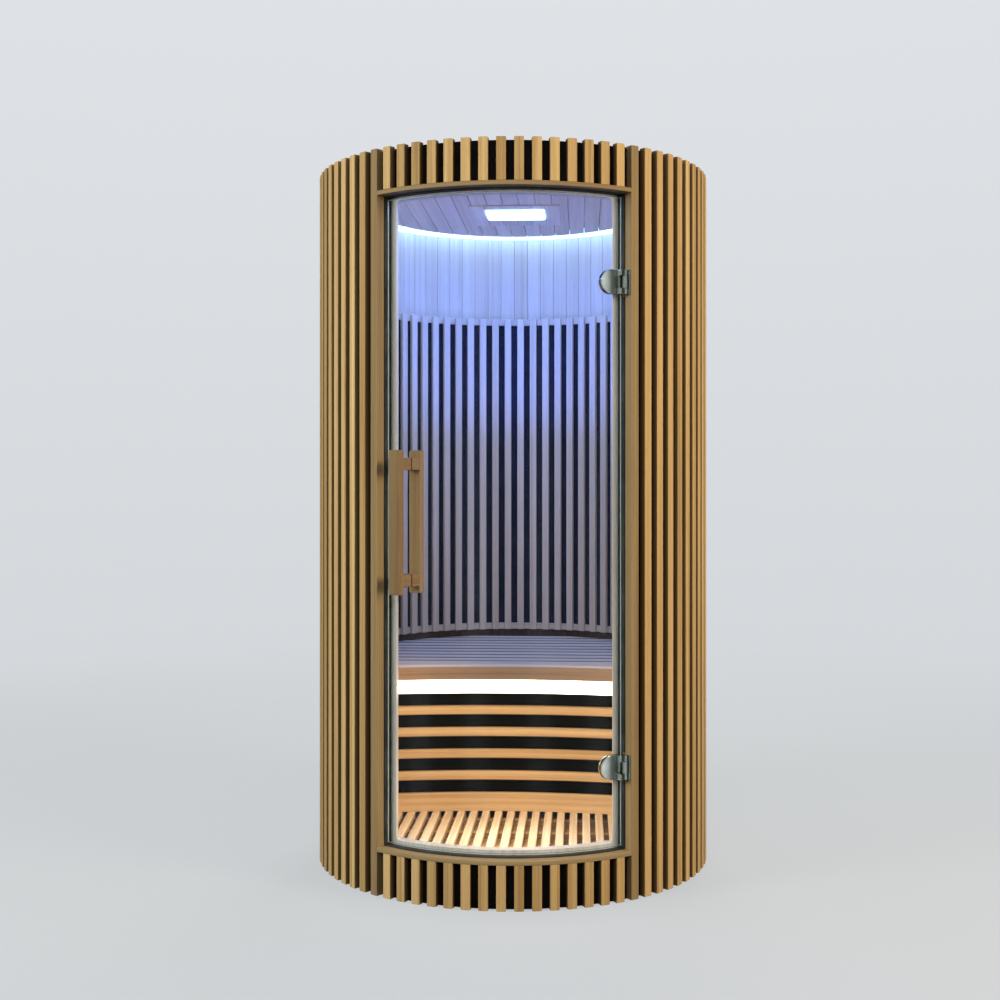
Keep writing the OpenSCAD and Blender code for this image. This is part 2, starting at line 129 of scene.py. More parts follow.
class Shape:
    """Mesh made of many closed pieces.

    Each vertex keeps where it lies in its own board, and its board's shade.
    """

    def __init__(self, seed):
        self.rng = random.Random(seed)
        self.verts, self.faces, self.grain, self.shade, self.depth = [], [], [], [], []

    def sweep(self, profile, places, put, metres=1.0):
        """Closed solid: profile (x, y) at each station (t, inset), put in the world by put(x, y, t)."""
        xs, ys = [p[0] for p in profile], [p[1] for p in profile]
        mid = ((min(xs) + max(xs)) / 2, (min(ys) + max(ys)) / 2)
        half = ((max(xs) - min(xs)) / 2, (max(ys) - min(ys)) / 2)
        shift = (self.rng.uniform(-0.2, 0.2), self.rng.uniform(-0.2, 0.2), self.rng.uniform(0, 40))
        shade, first, n = self.rng.random(), len(self.verts), len(profile)
        for t, inset in places:
            sx, sy = ((h - inset) / h if h else 1 for h in half)
            for x, y in profile:
                px, py = mid[0] + (x - mid[0]) * sx, mid[1] + (y - mid[1]) * sy
                self.verts.append(put(px, py, t))
                self.grain.append((px + shift[0], py + shift[1], t * metres + shift[2]))
                self.shade.append(shade)
                self.depth.append((max(ys) - y) / (2 * half[1]))
        for k in range(len(places) - 1):
            a, b = first + k * n, first + (k + 1) * n
            self.faces += [(a + i, a + (i + 1) % n, b + (i + 1) % n, b + i) for i in range(n)]
        self.faces.append(tuple(reversed(range(first, first + n))))
        self.faces.append(tuple(range(first + (len(places) - 1) * n, first + len(places) * n)))

    def build(self, name, materials, body="cabin", stands_for=(), slot=None, smooth=50):
        mesh = bpy.data.meshes.new(name)
        mesh.from_pydata(self.verts, [], self.faces)
        grain = mesh.attributes.new("grain", "FLOAT_VECTOR", "POINT")
        grain.data.foreach_set("vector", [c for g in self.grain for c in g])
        shade = mesh.attributes.new("shade", "FLOAT", "POINT")
        shade.data.foreach_set("value", self.shade)
        depth = mesh.attributes.new("depth", "FLOAT", "POINT")
        depth.data.foreach_set("value", self.depth)
        bm = bmesh.new()
        bm.from_mesh(mesh)
        bmesh.ops.recalc_face_normals(bm, faces=bm.faces)
        bm.to_mesh(mesh)
        bm.free()
        mesh.shade_smooth()
        mesh.set_sharp_from_angle(angle=math.radians(smooth))
        obj = bpy.data.objects.new(name, mesh)
        bpy.context.scene.collection.objects.link(obj)
        for m in materials:
            mesh.materials.append(m)
        weigh = obj.modifiers.new("normals", "WEIGHTED_NORMAL")
        weigh.keep_sharp = True
        weigh.weight = 100
        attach(obj, body)
        if stands_for:
            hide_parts(*stands_for)
        return obj


def round_wall(angle, z0=0.0):
    """Puts a piece at an angle round the cabin: x across, y the radius, t up."""
    c, s = math.cos(angle), math.sin(angle)
    return lambda x, y, t: (x * c + y * s, x * s - y * c, z0 + t)


def post_edge(radius, gap=0.0):
    """Angle at which a post's side that faces the door meets a radius."""
    return POST_A - math.asin((SLAT_W / 2 + gap) / radius)


def between_posts(gap=0.0):
    """Puts a curved piece between the posts: x the radius, y the height, t from -1 to 1."""

    def put(x, y, t):
        a = t * post_edge(x, gap)
        return (x * math.sin(a), -x * math.cos(a), y)

    return put


def ring(x, y, t):
    """Puts a curved piece round the cabin: x the radius, y the height, t the angle."""
    return (x * math.sin(t), -x * math.cos(t), y)


def bench_curve(x, y, t):
    """Puts a piece along the bench's curve, between the walls.

    x is the curve's radius, y the height and t runs from -1 to 1.
    """
    reach = math.acos((x * x + CURVE_Y ** 2 - FIT_R ** 2) / (2 * -CURVE_Y * x))
    return (x * math.sin(t * reach), CURVE_Y + x * math.cos(t * reach), y)


# ---------- materials ----------


class Nodes:
    """Short way to add and join shader nodes."""

    def __init__(self, name):
        self.material = bpy.data.materials.new(name)
        self.material.use_nodes = True
        self.tree = self.material.node_tree
        self.shader = self.tree.nodes["Principled BSDF"]

    def add(self, kind, inputs=None, **settings):
        node = self.tree.nodes.new(kind)
        for key, value in settings.items():
            setattr(node, key, value)
        for key, value in (inputs or {}).items():
            if isinstance(value, bpy.types.NodeSocket):
                self.tree.links.new(value, node.inputs[key])
            else:
                node.inputs[key].default_value = value
        return node

    def join(self, socket, name):
        self.tree.links.new(socket, self.shader.inputs[name])

    def plain(self, **values):
        for key, value in values.items():
            self.shader.inputs[key.replace("_", " ")].default_value = value

    def ramp(self, factor, *stops):
        node = self.add("ShaderNodeValToRGB", {"Fac": factor})
        band = node.color_ramp
        while len(band.elements) < len(stops):
            band.elements.new(0.5)
        for element, (place, colour) in zip(band.elements, stops):
            element.position = place
            element.color = (*colour, 1) if len(colour) == 3 else colour
        return node.outputs["Color"]

    def maths(self, kind, a, b):
        return self.add("ShaderNodeMath", {0: a, 1: b}, operation=kind).outputs[0]

    def mix(self, kind, factor, a, b):
        node = self.add("ShaderNodeMix", data_type="RGBA", blend_type=kind)
        for key, value in ((0, factor), (6, a), (7, b)):
            if isinstance(value, bpy.types.NodeSocket):
                self.tree.links.new(value, node.inputs[key])
            else:
                node.inputs[key].default_value = (*value, 1) if isinstance(value, tuple) else value
        return node.outputs[2]

    def noise(self, vector, scale, detail=3.0, rough=0.55, stretch=(1, 1, 1), twist=0.0):
        spread = self.add("ShaderNodeMapping", {"Vector": vector, "Scale": stretch}).outputs[0]
        return self.add(
            "ShaderNodeTexNoise",
            {"Vector": spread, "Scale": scale, "Detail": detail, "Roughness": rough, "Distortion": twist},
        ).outputs["Fac"]


def wood(
    name, pale, mid, deep, spread=0.16, rough=(0.42, 0.60), bump=0.25,
    own_grain=True, along=2, rings=0.5, painted_flank_shade=None, fall=(0.04, 0.14),
):
    """Sawn wood, in linear colours.

    Boards carry their own grain; a CAD node's runs along one of the row's axes.
    painted_flank_shade paints shade on a board's flanks, darker towards its back, beginning at the depths in fall.
    """
    n = Nodes(name)
    if own_grain:
        grain = n.add("ShaderNodeAttribute", attribute_name="grain").outputs["Vector"]
        shade = n.add("ShaderNodeAttribute", attribute_name="shade").outputs["Fac"]
    else:
        turn = {0: (0, math.pi / 2, 0), 1: (math.pi / 2, 0, 0), 2: (0, 0, 0)}[along]
        coords = n.add("ShaderNodeTexCoord").outputs["Object"]
        grain = n.add("ShaderNodeMapping", {"Vector": coords, "Rotation": turn}).outputs[0]
        shade = n.noise(coords, 3.0, 1.0)
    fibre = n.noise(grain, 1.0, 4.0, 0.65, (900, 900, 9))
    streak = n.noise(grain, 1.0, 3.0, 0.55, (85, 85, 1.1), 0.4)
    slow = n.noise(grain, 1.0, 2.0, 0.5, (9, 9, 0.9))
    bent = n.add("ShaderNodeVectorMath", {0: grain, 1: (1, 1, 0.012)}, operation="MULTIPLY").outputs[0]
    wave = n.add(
        "ShaderNodeTexWave",
        {"Vector": bent, "Scale": 46.0, "Distortion": 1.6, "Detail": 2.0, "Detail Scale": 9.0},
        wave_type="RINGS",
        rings_direction="Z",
        wave_profile="SAW",
    ).outputs["Fac"]
    figure = n.maths("ADD", n.maths("MULTIPLY", wave, rings * 0.45), n.maths("MULTIPLY", streak, 0.75))
    figure = n.maths("ADD", figure, n.maths("MULTIPLY", fibre, 0.28))
    tone = n.ramp(figure, (0.32, deep), (0.62, mid), (0.98, pale))
    dark, light = 1 - spread, 1 + spread * 0.6
    board = n.ramp(shade, (0.0, (dark, dark * 0.97, dark * 0.92)), (1.0, (light, light, light)))
    tone = n.mix("MULTIPLY", 1.0, tone, board)
    patch = n.ramp(slow, (0.30, (0.90, 0.86, 0.82)), (0.70, (1.06, 1.06, 1.06)))
    tone = n.mix("MULTIPLY", 0.8, tone, patch)
    specks = n.noise(grain, 1.0, 2.0, 0.6, (1500, 1500, 22))
    pores = n.ramp(specks, (0.30, (0.62, 0.55, 0.48)), (0.42, (1, 1, 1)))
    tone = n.mix("MULTIPLY", 0.55, tone, pores)
    # Painted shade: the flanks darken towards the board's back, where the gaps between boards get little light
    if painted_flank_shade:
        depth = n.add("ShaderNodeAttribute", attribute_name="depth").outputs["Fac"]
        flank = n.ramp(depth, (fall[0], (1, 1, 1)), (fall[1], painted_flank_shade[0]), (0.75, painted_flank_shade[1]))
        tone = n.mix("MULTIPLY", 1.0, tone, flank)
    n.join(tone, "Base Color")
    spot = n.add("ShaderNodeMapRange", {0: streak, 1: 0.2, 2: 0.8, 3: rough[1], 4: rough[0]}).outputs[0]
    n.join(spot, "Roughness")
    n.join(n.add("ShaderNodeBump", {"Strength": bump, "Distance": 0.0006, "Height": figure}).outputs[0], "Normal")
    n.plain(Specular_IOR_Level=0.35)
    return n.material


def panel_black(name, colour, rough, lines, bump):
    """Dark panel with faint fine lines and clouding."""
    n = Nodes(name)
    coords = n.add("ShaderNodeTexCoord").outputs["Object"]
    cloud = n.noise(coords, 14.0, 4.0)
    fine = n.noise(coords, 1.0, 3.0, 0.6, lines)
    base = n.ramp(cloud, (0.3, tuple(c * 0.7 for c in colour)), (0.75, tuple(c * 1.6 for c in colour)))
    marks = n.ramp(fine, (0.3, (0.6, 0.6, 0.6)), (0.7, (1.3, 1.3, 1.3)))
    n.join(n.mix("MULTIPLY", 0.6, base, marks), "Base Color")
    spot = n.add("ShaderNodeMapRange", {0: fine, 1: 0.25, 2: 0.75, 3: rough - 0.1, 4: rough + 0.1})
    n.join(spot.outputs[0], "Roughness")
    n.join(n.add("ShaderNodeBump", {"Strength": bump, "Distance": 0.0005, "Height": fine}).outputs[0], "Normal")
    n.plain(Specular_IOR_Level=0.05)
    return n.material


def chrome(name, colour, rough):
    n = Nodes(name)
    coords = n.add("ShaderNodeTexCoord").outputs["Object"]
    cloud = n.noise(coords, 60.0, 4.0)
    brushed = n.noise(coords, 1.0, 3.0, 0.6, (300, 300, 3000))
    n.join(n.ramp(cloud, (0.3, tuple(c * 0.82 for c in colour)), (0.7, colour)), "Base Color")
    n.join(n.add("ShaderNodeMapRange", {0: brushed, 1: 0.2, 2: 0.8, 3: rough, 4: rough + 0.12}).outputs[0], "Roughness")
    n.join(n.add("ShaderNodeBump", {"Strength": 0.08, "Distance": 0.0003, "Height": brushed}).outputs[0], "Normal")
    n.plain(Metallic=1.0)
    return n.material


def lamp(name, colour, strength):
    n = Nodes(name)
    coords = n.add("ShaderNodeTexCoord").outputs["Object"]
    cloud = n.noise(coords, 90.0, 2.0)
    n.join(n.ramp(cloud, (0.3, (0.78, 0.80, 0.82)), (0.7, (0.86, 0.88, 0.90))), "Base Color")
    n.plain(Roughness=0.45, Emission_Color=(*colour, 1), Emission_Strength=strength)
    return n.material


def clear_glass(name):
    n = Nodes(name)
    coords = n.add("ShaderNodeTexCoord").outputs["Object"]
    smear = n.noise(coords, 7.0, 3.0)
    n.join(n.ramp(smear, (0.35, (0.955, 0.985, 0.975)), (0.7, (0.975, 0.995, 0.985))), "Base Color")
    n.join(n.add("ShaderNodeMapRange", {0: smear, 1: 0.3, 2: 0.8, 3: 0.0, 4: 0.015}).outputs[0], "Roughness")
    n.plain(Transmission_Weight=1.0, IOR=1.45, Specular_IOR_Level=0.20, Specular_Tint=(0.22, 0.24, 0.25, 1))
    return n.material


def glass_edge(name):
    n = Nodes(name)
    coords = n.add("ShaderNodeTexCoord").outputs["Object"]
    ground = n.noise(coords, 1.0, 2.0, 0.5, (900, 900, 40))
    n.join(n.ramp(ground, (0.3, (0.16, 0.24, 0.22)), (0.7, (0.27, 0.37, 0.34))), "Base Color")
    n.join(n.add("ShaderNodeMapRange", {0: ground, 1: 0.2, 2: 0.8, 3: 0.12, 4: 0.28}).outputs[0], "Roughness")
    n.plain(Transmission_Weight=0.25, IOR=1.45)
    return n.material


# Outer slats: their flanks get painted shade, darker deep in the gaps between slats
OUTER_WOOD = wood(
    "wood_outer", (0.69, 0.50, 0.235), (0.535, 0.360, 0.155), (0.31, 0.183, 0.061), spread=0.20,
    painted_flank_shade=((0.55, 0.50, 0.45), (0.16, 0.13, 0.11)),
)
FRAME_WOOD = wood("wood_frame", (0.37, 0.285, 0.150), (0.29, 0.205, 0.099), (0.185, 0.120, 0.053), spread=0.08)
HANDLE_WOOD = wood("wood_handle", (0.28, 0.195, 0.100), (0.22, 0.142, 0.066), (0.14, 0.083, 0.036), spread=0.08)
FRONT_WOOD = wood(
    "wood_bench_front", (0.56, 0.36, 0.25), (0.465, 0.285, 0.18), (0.33, 0.185, 0.10), spread=0.08, rings=0.4
)
# Dark wood that paints shade on the lining below the back slats
PAINTED_SHADE_WOOD = wood(
    "wood_painted_shade", (0.13, 0.085, 0.075), (0.10, 0.062, 0.055), (0.07, 0.040, 0.036), spread=0.06, rings=0.3
)
INNER_TONES = (0.78, 0.66, 0.54), (0.70, 0.58, 0.46), (0.58, 0.47, 0.36)
INNER_WOOD = wood("wood_inner", *INNER_TONES, spread=0.06, rings=0.25)
# Seat boards: their sides get painted shade just below the top, in the gaps between boards
SEAT_WOOD = wood(
    "wood_seat", *INNER_TONES, spread=0.06, rings=0.25,
    painted_flank_shade=((0.16, 0.15, 0.17), (0.04, 0.035, 0.04)), fall=(0.004, 0.035),
)
LEG_WOOD = wood("wood_leg", (0.80, 0.56, 0.33), (0.68, 0.44, 0.23), (0.48, 0.28, 0.13), spread=0.08, rings=0.4)
DUCK_WOOD = wood(
    "wood_duckboard", (0.95, 0.78, 0.57), (0.85, 0.66, 0.45), (0.62, 0.43, 0.27), spread=0.07, rings=0.35
)
STOP_WOOD = wood(
    "wood_stop", (0.66, 0.64, 0.61), (0.56, 0.54, 0.51), (0.42, 0.395, 0.365), own_grain=False, rings=0.2
)
STRUCTURE_TONES = (0.60, 0.42, 0.24), (0.48, 0.32, 0.17), (0.32, 0.19, 0.09)
STRUCTURE_X = wood("wood_structure_x", *STRUCTURE_TONES, own_grain=False, along=0)
STRUCTURE_Y = wood("wood_structure_y", *STRUCTURE_TONES, own_grain=False, along=1)
WALL_BLACK = panel_black("black_wall", (0.010, 0.008, 0.007), 0.66, (260, 260, 6), 0.25)
BACK_HEATER = panel_black("black_back_heater", (0.016, 0.018, 0.038), 0.66, (30, 30, 500), 0.08)
LEG_HEATER = panel_black("black_leg_heater", (0.0020, 0.0016, 0.0013), 0.75, (30, 30, 700), 0.2)
CHROME = chrome("steel_hinge", (0.62, 0.66, 0.62), 0.07)
COOL_RING = lamp("light_ring", (0.21, 0.44, 1.0), 6.5)
COOL_LAMP = lamp("light_ceiling", (0.26, 0.50, 1.0), 9.0)
WARM_STRIP = lamp("light_bench", (1.0, 0.92, 0.66), 7.0)
# Black of the door seal, which also paints the shade of the gap beside the glass
SEAL_AND_SHADE = panel_black("black_seal_and_shade", (0.034, 0.036, 0.037), 0.55, (500, 500, 40), 0.1)
GLASS = clear_glass("glass_clear")
GLASS_EDGE = glass_edge("glass_edge")

# ---------- outer slats, posts and the boards round the doorway ----------

SLAT_PROFILE = rect(
    -SLAT_W / 2, SLAT_W / 2, SLAT_R - SLAT_D, SLAT_R, [0.0004, 0.0004, SLAT_EDGE, SLAT_EDGE], 3
)


def slats(name, node, places, seed):
    low, high = heights(node)
    shape = Shape(seed)
    for place in places:
        shape.sweep(SLAT_PROFILE, stations(low, high, 0.0008), round_wall(place * SLAT_A))
    shape.build(name, [OUTER_WOOD], stands_for=[node], slot="outer_slat")


around = range(POST_PLACE + 1, SLAT_COUNT // 2 + 1)
slats("slats_right", "cladding_right", around, 11)
slats("slats_left", "cladding_left", [-k for k in around], 12)
slats("slats_over_door", "lintel_slats", range(1 - POST_PLACE, POST_PLACE), 13)
slats("slats_under_door", "sill_slats", range(1 - POST_PLACE, POST_PLACE), 14)

for side, node in ((1, "door_post_right"), (-1, "door_post_left")):
    shape = Shape(20 + side)
    shape.sweep(
        rect(-SLAT_W / 2, SLAT_W / 2, INNER_R, SLAT_R, 0.0018, 3),
        stations(*heights(node), 0.001),
        round_wall(side * POST_A),
    )
    shape.build("post_right" if side > 0 else "post_left", [FRAME_WOOD], stands_for=[node], slot="frame_wood")

for name, node in (("header_board", "door_header"), ("sill_board", "door_sill")):
    shape = Shape(30)
    shape.sweep(
        rect(INNER_R, SLAT_R, *heights(node), 0.0015),
        stations(-1, 1, count=72),
        between_posts(0.0001),
        metres=0.33,
    )
    shape.build(name, [FRAME_WOOD], stands_for=[node], slot="frame_wood")

# Black seal round the doorway, partly painted shade of the shadowed gap beside the glass edge: on the reveal beside the
# glass edge, and on the face of the stop frame
SEAL_T, SEAL_FACE, SEAL_MID, SEAL_OUT, SEAL_PLAY, LEAF_CLEAR = 0.003, 0.008, 0.5374, 0.549, 0.0003, 0.036
STOP_D = 0.028
STOP_R = INNER_R + STOP_D
shape = Shape(35)
low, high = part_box("door_sill")[1].z + SEAL_PLAY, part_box("door_header")[0].z - SEAL_PLAY
for side in (-1, 1):
    start, end = post_edge(STOP_R, SEAL_PLAY), post_edge(STOP_R, SEAL_PLAY + SEAL_FACE)
    shape.sweep(
        rect(STOP_R + SEAL_PLAY, STOP_R + SEAL_T, low, high, 0.0006),
        stations(side * start, side * end, count=2),
        ring,
        metres=STOP_R,
    )
    flank = sorted((-side * (SLAT_W / 2 + SEAL_PLAY), -side * (SLAT_W / 2 + SEAL_T)))
    ends = [low + 0.004, high - 0.004]
    hinges = [z + d for z in HINGE_ZS for d in (-LEAF_CLEAR, LEAF_CLEAR)] if side > 0 else []
    breaks = sorted(ends + hinges)
    seal_rows = [(STOP_R + SEAL_T + SEAL_PLAY, SEAL_MID, ends), (SEAL_MID + 0.0002, SEAL_OUT, breaks)]
    for r1, r2, marks in seal_rows:
        for z1, z2 in zip(marks[::2], marks[1::2]):
            shape.sweep(rect(*flank, r1, r2, 0.0006), stations(z1, z2, 0.0005), round_wall(side * POST_A))
# Strips along the sill and under the header, black like the seal; the one under the header also paints the header's
# shadow
for z in (low, high - SEAL_T):
    shape.sweep(
        rect(STOP_R + SEAL_T + SEAL_PLAY, SEAL_OUT, z, z + SEAL_T, 0.0008),
        stations(-1, 1, count=60),
        between_posts(SEAL_PLAY),
        metres=STOP_R,
    )
shape.build("door_seal_and_shade", [SEAL_AND_SHADE], slot="wall_black")

# ---------- lining boards ----------

GROOVE, TONGUE_GAP, LINING_T = 0.0016, 0.0005, 0.0113
WALL_GROOVE, WALL_GAP = 0.0009, 0.0003


def lining(name, node, start, end, seed, dark_to=None):
    """Tongue-and-groove boards between two angles, with joints at the same places all round.

    Below the height dark_to they take a dark wood: painted shade of the gap between the back slats and the seat.
    """
    low, high = heights(node)
    shape = Shape(seed)
    first = math.floor(start / BOARD_A - 0.5)
    last = math.ceil(end / BOARD_A + 0.5)
    for k in range(first, last + 1):
        a1, a2 = max(start, (k - 0.5) * BOARD_A), min(end, (k + 0.5) * BOARD_A)
        if a2 - a1 < math.radians(0.5):
            continue
        half = INNER_R * math.tan((a2 - a1) / 2)
        profile = [
            (-half + WALL_GROOVE, INNER_R), (half - WALL_GROOVE, INNER_R), (half - WALL_GAP, INNER_R + WALL_GROOVE),
            (half - WALL_GAP, INNER_R + LINING_T), (-half + WALL_GAP, INNER_R + LINING_T),
            (-half + WALL_GAP, INNER_R + WALL_GROOVE),
        ]
        places = [(low, 0.0), (dark_to, 0.0), (high, 0.0)] if dark_to else stations(low, high)
        shape.sweep(profile, places, round_wall((a1 + a2) / 2))
    boards = shape.build(name, [INNER_WOOD, PAINTED_SHADE_WOOD], stands_for=[node], slot="inner_wood", smooth=30)
    # Faces below dark_to get the painted shade wood
    for face in boards.data.polygons:
        face.material_index = 1 if dark_to and face.center.z < dark_to else 0


beside_post = POST_A + math.asin((SLAT_W / 2) / INNER_R)
lining("boards_right", "lining_right", beside_post, BACK_START_A, 41)
lining("boards_back", "lining_back", BACK_START_A, 2 * math.pi - BACK_START_A, 42, heights("back_slats")[0])
lining("boards_left", "lining_left", 2 * math.pi - BACK_START_A, 2 * math.pi - beside_post, 43)
lining("boards_over_door", "lintel_lining", -post_edge(INNER_R), post_edge(INNER_R), 44)

# ---------- back slats and rails ----------

shape = Shape(51)
for k in range(-BACK_SIDE_SLATS, BACK_SIDE_SLATS + 1):
    shape.sweep(
        rect(-BACK_SLAT_W / 2, BACK_SLAT_W / 2, BACK_SLAT_R, RAIL_R - 0.0002, [0.002, 0.002, 0.0003, 0.0003]),
        stations(*heights("back_slats"), 0.001),
        round_wall(math.pi + k * BOARD_A),
    )
shape.build("slats_back", [INNER_WOOD], stands_for=["back_slats"], slot="inner_wood")

shape = Shape(52)
low, high = heights("back_rails")
for z in (low, high - RAIL_H):
    shape.sweep(
        rect(RAIL_R, HEATER_R, z, z + RAIL_H, 0.001),
        stations(BACK_START_A, 2 * math.pi - BACK_START_A, count=90),
        ring,
        metres=RAIL_R,
    )
shape.build("rails_back", [INNER_WOOD], stands_for=["back_rails"], slot="inner_wood")

# ---------- bench ----------

low, high = heights("seat_boards")
shape = Shape(61)
for k in range(SEAT_BOARDS):
    y = BOARDS_Y + SEAT_GAP + k * SEAT_PITCH
    shape.sweep(
        rect(y, y + SEAT_PITCH - SEAT_GAP, low, high, [0.001, 0.001, 0.005, 0.005], 3),
        stations(-1, 1, 0.001, 0.003, 2),
        lambda x, y, t: (t * math.sqrt(FIT_R ** 2 - x * x), x, y),
        metres=0.45,
    )
shape.build("seat_slats", [SEAT_WOOD], stands_for=["seat_boards"], slot="inner_wood")


def front_board(x, y, t):
    """The front edge follows the curve; the back edge is straight."""
    if x < 0.05:
        return bench_curve(CURVE_R + x, y, t)
    back = BOARDS_Y - (FRONT_BOARD_D - x)
    return (t * math.sqrt(FIT_R ** 2 - back * back), back, y)


low, high = heights("seat_front_board")
shape = Shape(62)
shape.sweep(
    rect(0.0, FRONT_BOARD_D, low, high, [0.003, 0.001, 0.002, 0.008], 4),
    stations(-1, 1, count=60),
    front_board,
    metres=0.42,
)
front = shape.build("seat_front", [FRONT_WOOD, INNER_WOOD], stands_for=["seat_front_board"], slot="leg_wood")
for face in front.data.polygons:
    face.material_index = 1 if face.normal.z > 0.5 else 0


def strips(name, node, inner, depth, spans, radii, material, slot, seed):
    """Pieces along the bench's curve, one for each span of heights."""
    shape = Shape(seed)
    for low, high in spans:
        shape.sweep(
            rect(inner, inner + depth, low, high, radii, 3), stations(-1, 1, count=60), bench_curve, metres=0.45
        )
    shape.build(name, [material], stands_for=[node], slot=slot)


low, high = heights("leg_slats")
spans = [(low + k * LEG_PITCH, low + k * LEG_PITCH + LEG_SLAT_H) for k in range(LEG_SLATS)]
leg_r = CURVE_R + LEG_SETBACK
strips("leg_strips", "leg_slats", leg_r, LEG_SLAT_D, spans, [0.003, 0.001, 0.001, 0.003], LEG_WOOD, "leg_wood", 63)
kick_radii = [0.001, 0.001, 0.001, 0.003]
strips("kick_strip", "kick_board", leg_r, LEG_SLAT_D, [heights("kick_board")], kick_radii, LEG_WOOD, "leg_wood", 64)
light_r = CURVE_R + LIGHT_INSET
strips("light_strip", "bench_light", light_r, LIGHT_D, [heights("bench_light")], 0.003, WARM_STRIP, "warm_light", 65)

# ---------- duckboard ----------

low, high = heights("floor_slats")
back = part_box("floor_slats")[1].y
shape = Shape(71)
for k in range(-FLOOR_SIDE, FLOOR_SIDE + 1):
    x = k * FLOOR_PITCH
    shape.sweep(
        rect(x - FLOOR_SLAT_W / 2, x + FLOOR_SLAT_W / 2, low, high, [0.001, 0.001, 0.0025, 0.0025]),
        stations(0, 1, 0.001, 0.004, 2),
        lambda x, y, t: (x, -math.sqrt(FIT_R ** 2 - x * x) * (1 - t) + back * t, y),
        metres=0.4,
    )
shape.build("duckboard", [DUCK_WOOD], stands_for=["floor_slats"], slot="leg_wood")

# ---------- ceiling ----------


def board_underside(x1, x2, z1, z2, groove):
    """Outline of a board whose lower edges are cut back for a groove."""
    return [
        (x1 + groove, z1), (x2 - groove, z1), (x2 - TONGUE_GAP, z1 + groove), (x2 - TONGUE_GAP, z2),
        (x1 + TONGUE_GAP, z2), (x1 + TONGUE_GAP, z1 + groove),
    ]


def across_ceiling(x, y, t):
    """Puts a ceiling board: x across, y the height, t from -1 to 1 over its length in the round."""
    return (x, t * math.sqrt(max(CEILING_R ** 2 - x * x, 0)), y)


low, high = heights("ceiling_boards")
shape = Shape(81)
cuts = 6
count = math.ceil(CEILING_R / CEILING_PITCH)
for k in range(-count, count + 1):
    x1, x2 = (k - 0.5) * CEILING_PITCH, (k + 0.5) * CEILING_PITCH
    x1, x2 = max(x1, -CEILING_R * 0.999), min(x2, CEILING_R * 0.999)
    if x2 - x1 < 0.006:
        continue
    bottom = [(x1 + GROOVE + (x2 - x1 - 2 * GROOVE) * i / cuts, low) for i in range(cuts + 1)]
    top = [(x2 - TONGUE_GAP - (x2 - x1 - 2 * TONGUE_GAP) * i / cuts, high) for i in range(cuts + 1)]
    outline = bottom + [(x2 - TONGUE_GAP, low + GROOVE)] + top + [(x1 + TONGUE_GAP, low + GROOVE)]
    shape.sweep(outline, stations(-1, 1), across_ceiling, metres=0.4)
shape.build("ceiling_slats", [INNER_WOOD], stands_for=["ceiling_boards"], slot="inner_wood", smooth=30)

low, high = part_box("lamp_panel")
shape = Shape(82)
count = 6
step = (high.x - low.x) / count
for k in range(count):
    shape.sweep(
        board_underside(low.x + k * step, low.x + (k + 1) * step, low.z, high.z, 0.0012),
        stations(low.y, high.y),
        lambda x, y, t: (x, t, y),
    )
shape.build("ceiling_panel", [INNER_WOOD], stands_for=["lamp_panel"], slot="inner_wood", smooth=30)

low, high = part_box("ceiling_lamp")
shape = Shape(83)
middle, half = (low + high) / 2, (high - low) / 2
shape.sweep(
    rect(-half.x, half.x, -half.y, half.y, 0.004, 4),
    [(low.z, 0.003), (low.z + 0.0012, 0.0012), (low.z + 0.003, 0.0), (high.z, 0.0)],
    lambda x, y, t: (middle.x + x, middle.y + y, t),
)
shape.build("lamp_diffuser", [COOL_LAMP], stands_for=["ceiling_lamp"], slot="cool_light")

# ---------- door glass ----------

low, high = heights("door_glass")
shape = Shape(91)
EDGE = 0.0010
columns = 96
outline = [
    (GLASS_RI + EDGE, low), (GLASS_RO - EDGE, low), (GLASS_RO, low + EDGE), (GLASS_RO, high - EDGE),
    (GLASS_RO - EDGE, high), (GLASS_RI + EDGE, high), (GLASS_RI, high - EDGE), (GLASS_RI, low + EDGE),
]
places = [(-1, EDGE)] + stations(-0.998, 0.998, count=columns) + [(1, EDGE)]
shape.sweep(outline, places, between_posts(GLASS_GAP), metres=0.33)
glass = shape.build("glass_door", [GLASS, GLASS_EDGE], "door", ["door_glass"], "glass", smooth=20)
for face in glass.data.polygons:
    c = face.center
    radius, height = math.hypot(c.x, c.y), c.z
    facing = abs(face.normal.x * c.x / radius + face.normal.y * c.y / radius)
    face.material_index = 0 if facing > 0.9 else 1
glass.visible_shadow = False

# ---------- handles ----------


def handle(name, node, bar_in, bar_out, block_in, block_out, seed):
    """Upright bar on two blocks. block_in and block_out give a block's two ends as radii at x."""
    low, high = heights(node)
    shape = Shape(seed)
    put = round_wall(HANDLE_A)
    shape.sweep(rect(-HANDLE_W / 2, HANDLE_W / 2, bar_in, bar_out, 0.003, 3), stations(low, high, 0.0022), put)
    for z in (low + BLOCK_INSET, high - BLOCK_INSET):
        shape.sweep(
            rect(-BLOCK_W / 2, BLOCK_W / 2, z - BLOCK_W / 2, z + BLOCK_W / 2, 0.0018, 3),
            stations(0, 1),
            lambda x, y, t: put(x, block_in(x) * (1 - t) + block_out(x) * t, y),
            metres=BLOCK_L,
        )
    shape.build(name, [HANDLE_WOOD], "door", [node], "frame_wood")


def flat(radius):
    return lambda x: radius


def bent(radius):
    return lambda x: math.sqrt(radius * radius - x * x)


